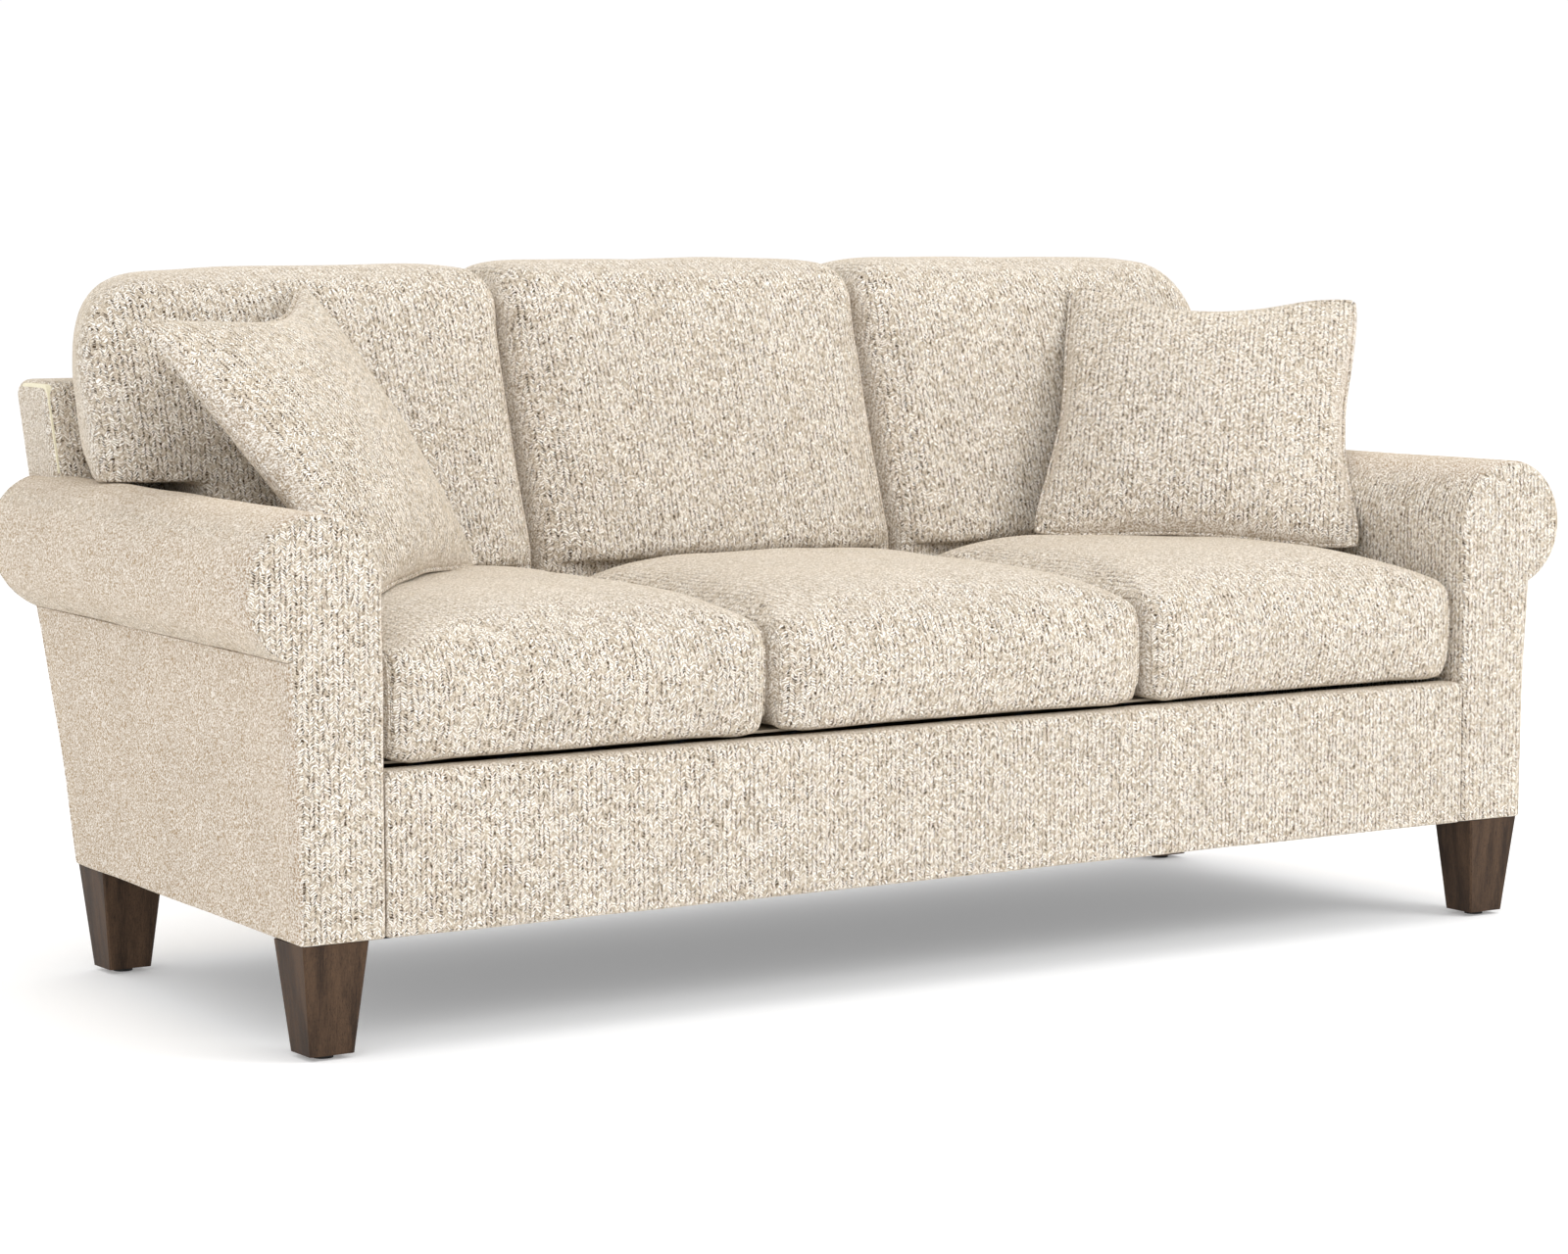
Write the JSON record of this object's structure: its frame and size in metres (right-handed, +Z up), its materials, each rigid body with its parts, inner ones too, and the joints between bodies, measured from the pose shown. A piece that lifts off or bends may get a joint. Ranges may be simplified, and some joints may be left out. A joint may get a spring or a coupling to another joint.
{
  "type": "three-seat sofa",
  "caption": "Three-seat sofa with rolled arms, loose boxed seat and back cushions, two welted throw pillows and tapered square wooden legs.",
  "frame": {"origin": "on the floor, midway across the width and the depth of the whole sofa", "axes": "+X to the right seen from the front, -Y towards the front, +Z up"},
  "size_m": [2.0282, 0.911, 0.9033],
  "materials": {
    "upholstery": "chunky woven chevron, off-white raised yarns over beige with dark flecks",
    "deck_cloth": "plain beige decking cloth",
    "foam": "polyurethane foam and fibre wrap",
    "timber": "raw hardwood and plywood",
    "leg_wood": "satin espresso stain with open grain",
    "spring_steel": "drawn wire",
    "zinc_steel": "zinc plated",
    "webbing": "woven elastic webbing",
    "dust_cloth": "black spun-bonded cloth",
    "glide_plastic": "moulded nylon"
  },
  "bodies": {
    "root": {"front_rail": "timber", "rear_rail": "timber", "seat_stretchers": "timber", "corner_blocks": "timber", "left_base_board": "timber", "right_base_board": "timber", "left_arm_front_post": "timber", "right_arm_front_post": "timber", "left_arm_rear_post": "timber", "right_arm_rear_post": "timber", "left_arm_top_rail": "timber", "right_arm_top_rail": "timber", "back_posts": "timber", "back_top_rail": "timber", "back_lower_rail": "timber", "seat_springs": "spring_steel", "spring_clips": "spring_steel", "spring_tie_wires": "spring_steel", "back_webbing": "webbing", "deck_cover": "deck_cloth", "front_rail_cover": "upholstery", "left_arm_padding": "foam", "right_arm_padding": "foam", "left_arm_cover": "upholstery", "right_arm_cover": "upholstery", "left_arm_front_facing": "upholstery", "right_arm_front_facing": "upholstery", "left_arm_rear_facing": "upholstery", "right_arm_rear_facing": "upholstery", "back_padding": "foam", "inside_back_cover": "upholstery", "outside_back_cover": "upholstery", "dust_cover": "dust_cloth", "left_front_leg": "leg_wood", "right_front_leg": "leg_wood", "left_rear_leg": "leg_wood", "right_rear_leg": "leg_wood", "leg_plates": "zinc_steel", "leg_bolts": "zinc_steel", "leg_glides": "glide_plastic"},
    "left_seat": {"left_seat_cushion": "upholstery", "left_seat_core": "foam"},
    "middle_seat": {"middle_seat_cushion": "upholstery", "middle_seat_core": "foam"},
    "right_seat": {"right_seat_cushion": "upholstery", "right_seat_core": "foam"},
    "left_back": {"left_back_cushion": "upholstery", "left_back_core": "foam"},
    "middle_back": {"middle_back_cushion": "upholstery", "middle_back_core": "foam"},
    "right_back": {"right_back_cushion": "upholstery", "right_back_core": "foam"},
    "left_pillow": {"left_throw_pillow": "upholstery"},
    "right_pillow": {"right_throw_pillow": "upholstery"}
  },
  "joints": [
    {"name": "left_seat_slide", "type": "slide", "parent": "root", "child": "left_seat", "axis": [0, -1, 0], "range_m": [0, 0.6]},
    {"name": "middle_seat_slide", "type": "slide", "parent": "root", "child": "middle_seat", "axis": [0, -1, 0], "range_m": [0, 0.6]},
    {"name": "right_seat_slide", "type": "slide", "parent": "root", "child": "right_seat", "axis": [0, -1, 0], "range_m": [0, 0.6]},
    {"name": "left_back_lift", "type": "slide", "parent": "root", "child": "left_back", "axis": [0, 0.2924, 0.9563], "range_m": [0, 0.44]},
    {"name": "middle_back_lift", "type": "slide", "parent": "root", "child": "middle_back", "axis": [0, 0.2924, 0.9563], "range_m": [0, 0.44]},
    {"name": "right_back_lift", "type": "slide", "parent": "root", "child": "right_back", "axis": [0, 0.2924, 0.9563], "range_m": [0, 0.44]},
    {"name": "left_pillow_lift", "type": "slide", "parent": "left_back", "child": "left_pillow", "axis": [0.4496, -0.5295, 0.7194], "range_m": [0, 0.3]},
    {"name": "right_pillow_lift", "type": "slide", "parent": "right_back", "child": "right_pillow", "axis": [-0.4496, -0.5295, 0.7194], "range_m": [0, 0.3]}
  ]
}
